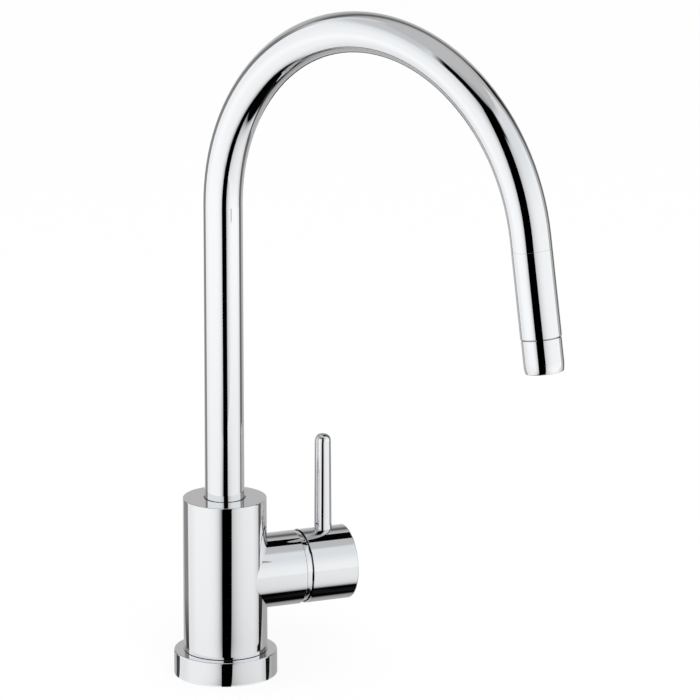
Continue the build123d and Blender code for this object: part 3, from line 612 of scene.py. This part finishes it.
def grey_stand(context, name, panel, foot, greys, rise, reach, top):
    """A grey panel and its painted reflection on the worktop, which turn from the first grey to
    the second.

    The panel turns through the heights in rise, and fades away through those in top. The foot,
    the panel's painted reflection on the worktop, turns back from the second to the first through
    the distances from the tap in reach.
    """
    made, tree = new_material(name)
    place = add_node(tree, "ShaderNodeTexCoord").outputs["Object"]
    up = add_node(tree, "ShaderNodeSeparateXYZ", None, {0: place}).outputs["Z"]
    out = add_node(tree, "ShaderNodeVectorMath", {"operation": "LENGTH"}, {
        0: place}).outputs["Value"]
    high = add_node(tree, "ShaderNodeMapRange", None, {
        "Value": up, "From Min": rise[0], "From Max": rise[1]})
    near = add_node(tree, "ShaderNodeMapRange", None, {
        "Value": out, "From Min": reach[0], "From Max": reach[1], "To Min": 1, "To Max": 0})
    share = add_node(tree, "ShaderNodeMath", {"operation": "MAXIMUM"}, {0: high, 1: near})
    tint = add_node(tree, "ShaderNodeMix", {"data_type": "RGBA"}, {
        SHARE: share, FIRST: (*linear(greys[0]), 1), SECOND: (*linear(greys[1]), 1)})
    grey = add_node(tree, "ShaderNodeEmission", None, {"Color": tint.outputs[MIXED]})
    clear = add_node(tree, "ShaderNodeBsdfTransparent")
    gone = add_node(tree, "ShaderNodeMapRange", {"interpolation_type": "SMOOTHSTEP"}, {
        "Value": up, "From Min": top[0], "From Max": top[1]})
    both = add_node(tree, "ShaderNodeMixShader", None, {0: gone, 1: grey, 2: clear})
    add_node(tree, "ShaderNodeOutputMaterial", None, {"Surface": both})
    mirrored_card(context, name + "_panel", seen_from_camera(panel), made)
    # foot: the panel's painted reflection on the worktop, a wedge from the tap's foot out to it
    mirrored_card(context, name + "_floor", seen_from_camera(foot), made)


def lesser_fall(tree, value, falls):
    """The lesser of two exponential falls from a gap, one to each side of it.

    Each has its share at a place, that place, and the stretch in which it falls to 1/e.
    """
    sides = []
    for (share, start, stretch), way in zip(falls, (1.0, -1.0)):
        off = add_node(tree, "ShaderNodeMath", {"operation": "SUBTRACT"}, {0: value, 1: start})
        steps = add_node(tree, "ShaderNodeMath", {"operation": "MULTIPLY"}, {
            0: off, 1: way / stretch})
        fall = add_node(tree, "ShaderNodeMath", {"operation": "EXPONENT"}, {0: steps})
        sides.append(add_node(tree, "ShaderNodeMath", {"operation": "MULTIPLY"}, {
            0: fall, 1: share}))
    return add_node(tree, "ShaderNodeMath", {"operation": "MINIMUM"}, {0: sides[0], 1: sides[1]})


def worktop_shade(context):
    """A clear sheet on the worktop that dims what shows through it.

    It takes most away at the tap's foot, more on the right than on the left, and beside the
    gap's painted reflection on the worktop, and nothing near its own rim.
    """
    made, tree = new_material("worktop_shade")
    place = add_node(tree, "ShaderNodeTexCoord").outputs["Object"]
    out = add_node(tree, "ShaderNodeVectorMath", {"operation": "LENGTH"}, {
        0: place}).outputs["Value"]
    toward = add_node(tree, "ShaderNodeVectorMath", {"operation": "DOT_PRODUCT"}, {
        0: place, 1: TOWARD}).outputs["Value"]
    right = add_node(tree, "ShaderNodeVectorMath", {"operation": "DOT_PRODUCT"}, {
        0: place, 1: RIGHT}).outputs["Value"]

    # what is left at the foot: 1 - shade (FOOT_R / distance) ^ FOOT_FALL
    distance = add_node(tree, "ShaderNodeMath", {"operation": "MAXIMUM"}, {
        0: out, 1: FOOT_LEAST})
    share = add_node(tree, "ShaderNodeMath", {"operation": "DIVIDE"}, {0: FOOT_R, 1: distance})
    fall = add_node(tree, "ShaderNodeMath", {"operation": "POWER"}, {0: share, 1: FOOT_FALL})
    rightness = add_node(tree, "ShaderNodeMath", {"operation": "DIVIDE"}, {0: right, 1: out})
    shade = add_node(tree, "ShaderNodeMapRange", {"interpolation_type": "SMOOTHSTEP"}, {
        "Value": rightness, "From Min": 0, "From Max": FOOT_RIGHT,
        "To Min": -FOOT_SHADE[0], "To Max": -FOOT_SHADE[1]})
    foot = add_node(tree, "ShaderNodeMath", {"operation": "MULTIPLY_ADD"}, {
        0: fall, 1: shade, 2: 1.0})

    # what is left beside the gap, where the shade is weaker close to the tap and far from it
    bearing = add_node(tree, "ShaderNodeMath", {"operation": "ARCTAN2"}, {0: right, 1: toward})
    beside = lesser_fall(tree, bearing, FLOOR_FALLS)
    near = add_node(tree, "ShaderNodeMapRange", {"interpolation_type": "SMOOTHSTEP"}, {
        "Value": out, "From Min": GAP_NEAR[0], "From Max": GAP_NEAR[1],
        "To Min": -GAP_LEAST, "To Max": -1})
    far = add_node(tree, "ShaderNodeMapRange", {"interpolation_type": "SMOOTHSTEP"}, {
        "Value": out, "From Min": GAP_FAR[0], "From Max": GAP_FAR[1],
        "To Min": near, "To Max": 0})
    gap = add_node(tree, "ShaderNodeMath", {"operation": "MULTIPLY_ADD"}, {
        0: beside, 1: far, 2: 1.0})

    both = add_node(tree, "ShaderNodeMath", {"operation": "MULTIPLY", "use_clamp": True}, {
        0: foot, 1: gap})
    through = add_node(tree, "ShaderNodeMapRange", {"interpolation_type": "SMOOTHSTEP"}, {
        "Value": out, "From Min": SHADE_END[0], "From Max": SHADE_END[1],
        "To Min": both, "To Max": 1})
    clear = add_node(tree, "ShaderNodeBsdfTransparent", None, {"Color": through})
    add_node(tree, "ShaderNodeOutputMaterial", None, {"Surface": clear})
    mirrored_card(context, "worktop_shade", circle((0, 0), SHADE_RADIUS, SHADE_LEVEL), made)


def panel_shade(context):
    """A clear sheet in front of the gap's panel that dims the lamps beside it."""
    made, tree = new_material("panel_shade")
    place = add_node(tree, "ShaderNodeTexCoord").outputs["Object"]
    right = add_node(tree, "ShaderNodeVectorMath", {"operation": "DOT_PRODUCT"}, {
        0: place, 1: RIGHT}).outputs["Value"]
    beside = lesser_fall(tree, right, PANEL_FALLS)
    through = add_node(tree, "ShaderNodeMath", {"operation": "SUBTRACT", "use_clamp": True}, {
        0: 1.0, 1: beside})
    clear = add_node(tree, "ShaderNodeBsdfTransparent", None, {"Color": through})
    add_node(tree, "ShaderNodeOutputMaterial", None, {"Surface": clear})
    mirrored_card(context, "panel_shade", seen_from_camera(PANEL_SHADE), made)


# ---------------------------------------------------------------- lamp and camera


def soft_lamp(context, power):
    """One large square lamp above and in front of the tap, turned to face its middle."""
    lamp = bpy.data.lights.new("soft_lamp", "AREA")
    lamp.shape, lamp.size, lamp.energy = "SQUARE", LAMP_SIDE, power
    held = bpy.data.objects.new("soft_lamp", lamp)
    context.scene.collection.objects.link(held)
    held.location = LAMP_PLACE
    held.rotation_euler = (Vector(LAMP_AIM) - held.location).to_track_quat("-Z", "Y").to_euler()
    held.visible_glossy = False


def photo_camera(context, lens):
    """The camera where the photograph was taken from, looking a little down with no roll."""
    camera = bpy.data.cameras.new("photo_camera")
    camera.sensor_width, camera.lens = 36, lens
    camera.clip_start, camera.clip_end = 0.1, 200
    held = bpy.data.objects.new("photo_camera", camera)
    context.scene.collection.objects.link(held)
    forward = Vector(CAMERA_FORWARD).normalized()
    right = Vector(CAMERA_RIGHT).normalized()
    turn = Matrix((right, right.cross(forward), -forward)).transposed()
    held.matrix_world = Matrix.Translation(CAMERA_PLACE) @ turn.to_4x4()
    context.scene.camera = held


class TAP_OT_studio(bpy.types.Operator):
    """Sets up the floor, the light, what the chrome mirrors, and the camera"""

    bl_idname = "tap.studio"
    bl_label = "Studio"

    def execute(self, context):
        studio = context.scene.tap_studio
        light_world(context, studio.daylight)
        studio_floor(context, studio.floor_size)
        black_mat(context)
        black_cards(context)
        grey_stand(
            context, "side_stand", SIDE_PANEL, SIDE_FLOOR_REFLECTION, greys=("#727170", "#1C1B1B"),
            rise=(0.42, 0.62), reach=(0.1, 0.4), top=(0.7, 0.8))
        grey_stand(
            context, "back_stand", BACK_PANEL, BACK_FLOOR_REFLECTION, greys=("#929190", "#504E4D"),
            rise=(0.3, 0.8), reach=(0.08, 0.17), top=(0.45, 0.6))
        worktop_shade(context)
        panel_shade(context)
        soft_lamp(context, studio.lamp_power)
        photo_camera(context, studio.lens)
        context.scene.view_settings.view_transform = "Standard"
        return {"FINISHED"}


# ---------------------------------------------------------------- panel and running

STEPS = ("chrome", "metal", "seals", "plastic", "discs", "studio")


class TAP_PT_panel(bpy.types.Panel):
    """The tap's pieces and studio, in the order they are made"""

    bl_idname = "TAP_PT_panel"
    bl_label = "Filtered water tap"
    bl_space_type = "VIEW_3D"
    bl_region_type = "UI"
    bl_category = "Tap"

    def draw(self, context):
        for step in STEPS:
            self.layout.operator("tap." + step)
        for group in (context.scene.tap_finish, context.scene.tap_studio):
            box = self.layout.box()
            for name in group.__annotations__:
                box.prop(group, name)


CLASSES = (
    TapFinishSettings, TapStudioSettings, TAP_OT_chrome, TAP_OT_metal, TAP_OT_seals,
    TAP_OT_plastic, TAP_OT_discs, TAP_OT_studio, TAP_PT_panel,
)


def register():
    for made in CLASSES:
        bpy.utils.register_class(made)
    bpy.types.Scene.tap_finish = PointerProperty(type=TapFinishSettings)
    bpy.types.Scene.tap_studio = PointerProperty(type=TapStudioSettings)


def unregister():
    del bpy.types.Scene.tap_studio, bpy.types.Scene.tap_finish
    for made in reversed(CLASSES):
        bpy.utils.unregister_class(made)


def main():
    register()
    for step in STEPS:
        getattr(bpy.ops.tap, step)()


if __name__ == "__main__":
    main()
